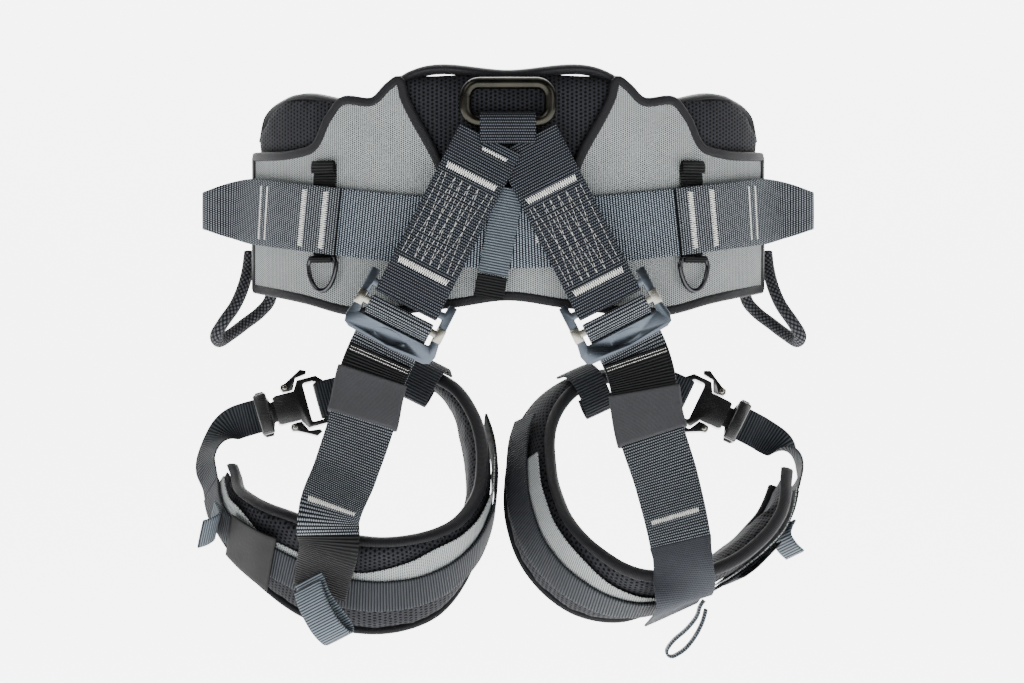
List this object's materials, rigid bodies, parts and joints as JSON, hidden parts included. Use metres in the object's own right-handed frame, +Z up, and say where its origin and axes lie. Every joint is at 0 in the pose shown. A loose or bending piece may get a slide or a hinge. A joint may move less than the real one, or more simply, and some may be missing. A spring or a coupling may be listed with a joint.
{
  "type": "tree climbing saddle",
  "caption": "Padded waist belt with a rear suspension ring, side attachment loops, sprung-lever buckles and two padded leg loops on adjustable risers.",
  "frame": {"origin": "centre of the top bar of the rear ring, the point the saddle hangs from", "axes": "+X to the right of the outer face of the back panel seen from behind the wearer, +Y from the back panel towards the wearer's front, +Z up"},
  "size_m": [0.4216, 0.3026, 0.3884],
  "materials": {
    "spacer_mesh": "black open spacer mesh over foam",
    "grey_twill": "light grey coated twill with a black bound edge",
    "stiffener_plastic": "moulded sheet",
    "blue_grey_webbing": "woven polyester webbing with pale flecks",
    "black_webbing": "woven black webbing",
    "grey_elastic": "ribbed elastic",
    "black_cover": "smooth reinforced cover",
    "braided_cord": "braided cord, dark grey with flecks",
    "bronze_steel": "dark bronze grey satin",
    "bright_steel": "satin grey steel",
    "black_metal": "black anodised, satin"
  },
  "bodies": {
    "waist": {"adjuster_frame_left": "bright_steel", "adjuster_frame_right": "bright_steel", "centre_tab": "blue_grey_webbing", "front_belt_left": "blue_grey_webbing", "front_belt_right": "blue_grey_webbing", "front_buckle_body": "black_metal", "front_buckle_tongue": "black_metal", "gear_loop_left": "braided_cord", "gear_loop_right": "braided_cord", "gear_strap_left": "black_webbing", "gear_strap_right": "black_webbing", "rear_strap_left": "blue_grey_webbing", "rear_strap_right": "blue_grey_webbing", "ring_webbing": "blue_grey_webbing", "side_loop_left": "blue_grey_webbing", "side_loop_right": "blue_grey_webbing", "waist_belt": "blue_grey_webbing", "waist_pad": "spacer_mesh", "waist_shell": "grey_twill", "waist_stiffener": "stiffener_plastic"},
    "leg_left": {"leg_buckle_left_body": "black_metal", "leg_buckle_left_tongue": "black_metal", "leg_buckle_web_left": "blue_grey_webbing", "leg_cover_left": "black_cover", "leg_front_loop_left": "blue_grey_webbing", "leg_pad_left": "spacer_mesh", "leg_riser_end_left": "black_webbing", "leg_riser_left": "blue_grey_webbing", "leg_shell_left": "grey_twill", "leg_sleeve_left": "grey_elastic", "leg_strap_left": "blue_grey_webbing", "leg_tab_left": "blue_grey_webbing", "leg_tail_loop_left": "blue_grey_webbing", "leg_webbing_left": "blue_grey_webbing"},
    "leg_lever_upper_left": {"leg_buckle_left_lever_upper": "black_metal"},
    "leg_lever_lower_left": {"leg_buckle_left_lever_lower": "black_metal"},
    "adjuster_left": {"adjuster_bar_left": "bright_steel", "riser_upper_left": "blue_grey_webbing"},
    "gear_ring_left": {"d_ring_left": "bright_steel"},
    "leg_right": {"leg_buckle_right_body": "black_metal", "leg_buckle_right_tongue": "black_metal", "leg_buckle_web_right": "blue_grey_webbing", "leg_cover_right": "black_cover", "leg_front_loop_right": "blue_grey_webbing", "leg_pad_right": "spacer_mesh", "leg_riser_end_right": "black_webbing", "leg_riser_right": "blue_grey_webbing", "leg_shell_right": "grey_twill", "leg_sleeve_right": "grey_elastic", "leg_strap_right": "blue_grey_webbing", "leg_tab_right": "blue_grey_webbing", "leg_tail_loop_right": "blue_grey_webbing", "leg_webbing_right": "blue_grey_webbing"},
    "leg_lever_upper_right": {"leg_buckle_right_lever_upper": "black_metal"},
    "leg_lever_lower_right": {"leg_buckle_right_lever_lower": "black_metal"},
    "adjuster_right": {"adjuster_bar_right": "bright_steel", "riser_upper_right": "blue_grey_webbing"},
    "gear_ring_right": {"d_ring_right": "bright_steel"},
    "hang_ring": {"rear_ring": "bronze_steel"},
    "front_lever": {"front_buckle_lever_upper": "black_metal"}
  },
  "joints": [
    {"name": "hang_ring_swing", "type": "hinge", "parent": "waist", "child": "hang_ring", "pos_m": [0, 0, -0.025], "axis": [1, 0, 0], "range_deg": [-6, 55]},
    {"name": "leg_swing_left", "type": "hinge", "parent": "adjuster_left", "child": "leg_left", "pos_m": [-0.08255, 0.0041, -0.17644], "axis": [1, 0, 0], "range_deg": [-30, 25]},
    {"name": "adjuster_bar_lift_left", "type": "slide", "parent": "waist", "child": "adjuster_left", "axis": [0.454, 0, 0.891], "range_m": [0, 0.0015]},
    {"name": "gear_ring_swing_left", "type": "hinge", "parent": "waist", "child": "gear_ring_left", "pos_m": [-0.1243, 0.03175, -0.11476], "axis": [-0.8556, 0.5177, 0], "range_deg": [-6, 70]},
    {"name": "leg_lever_upper_press_left", "type": "hinge", "parent": "leg_left", "child": "leg_lever_upper_left", "pos_m": [-0.1508, 0.05199, -0.20232], "axis": [0.1128, -0.981, 0.1576], "range_deg": [-5, 0], "stiffness_Nm_per_rad": 0.3},
    {"name": "leg_lever_lower_press_left", "type": "hinge", "parent": "leg_left", "child": "leg_lever_lower_left", "pos_m": [-0.14337, 0.04861, -0.22868], "axis": [0.1128, -0.981, 0.1576], "range_deg": [0, 5], "stiffness_Nm_per_rad": 0.3},
    {"name": "leg_swing_right", "type": "hinge", "parent": "adjuster_right", "child": "leg_right", "pos_m": [0.08255, 0.0041, -0.17644], "axis": [1, 0, 0], "range_deg": [-30, 25]},
    {"name": "adjuster_bar_lift_right", "type": "slide", "parent": "waist", "child": "adjuster_right", "axis": [-0.454, 0, 0.891], "range_m": [0, 0.0015]},
    {"name": "gear_ring_swing_right", "type": "hinge", "parent": "waist", "child": "gear_ring_right", "pos_m": [0.1243, 0.03175, -0.11476], "axis": [-0.8556, -0.5177, 0], "range_deg": [-6, 70]},
    {"name": "leg_lever_upper_press_right", "type": "hinge", "parent": "leg_right", "child": "leg_lever_upper_right", "pos_m": [0.13217, 0.05333, -0.22942], "axis": [-0.0158, -0.9878, 0.155], "range_deg": [-5, 0], "stiffness_Nm_per_rad": 0.3},
    {"name": "leg_lever_lower_press_right", "type": "hinge", "parent": "leg_right", "child": "leg_lever_lower_right", "pos_m": [0.14423, 0.05699, -0.20486], "axis": [-0.0158, -0.9878, 0.155], "range_deg": [0, 5], "stiffness_Nm_per_rad": 0.3},
    {"name": "front_lever_press", "type": "hinge", "parent": "waist", "child": "front_lever", "pos_m": [0.002, 0.226, -0.06492], "axis": [0, 1, 0], "range_deg": [0, 5], "stiffness_Nm_per_rad": 0.3}
  ],
  "couplings": [
    {"joint": "leg_lever_lower_press_left", "follows": "leg_lever_upper_press_left", "ratio": -1},
    {"joint": "leg_lever_lower_press_right", "follows": "leg_lever_upper_press_right", "ratio": -1}
  ]
}
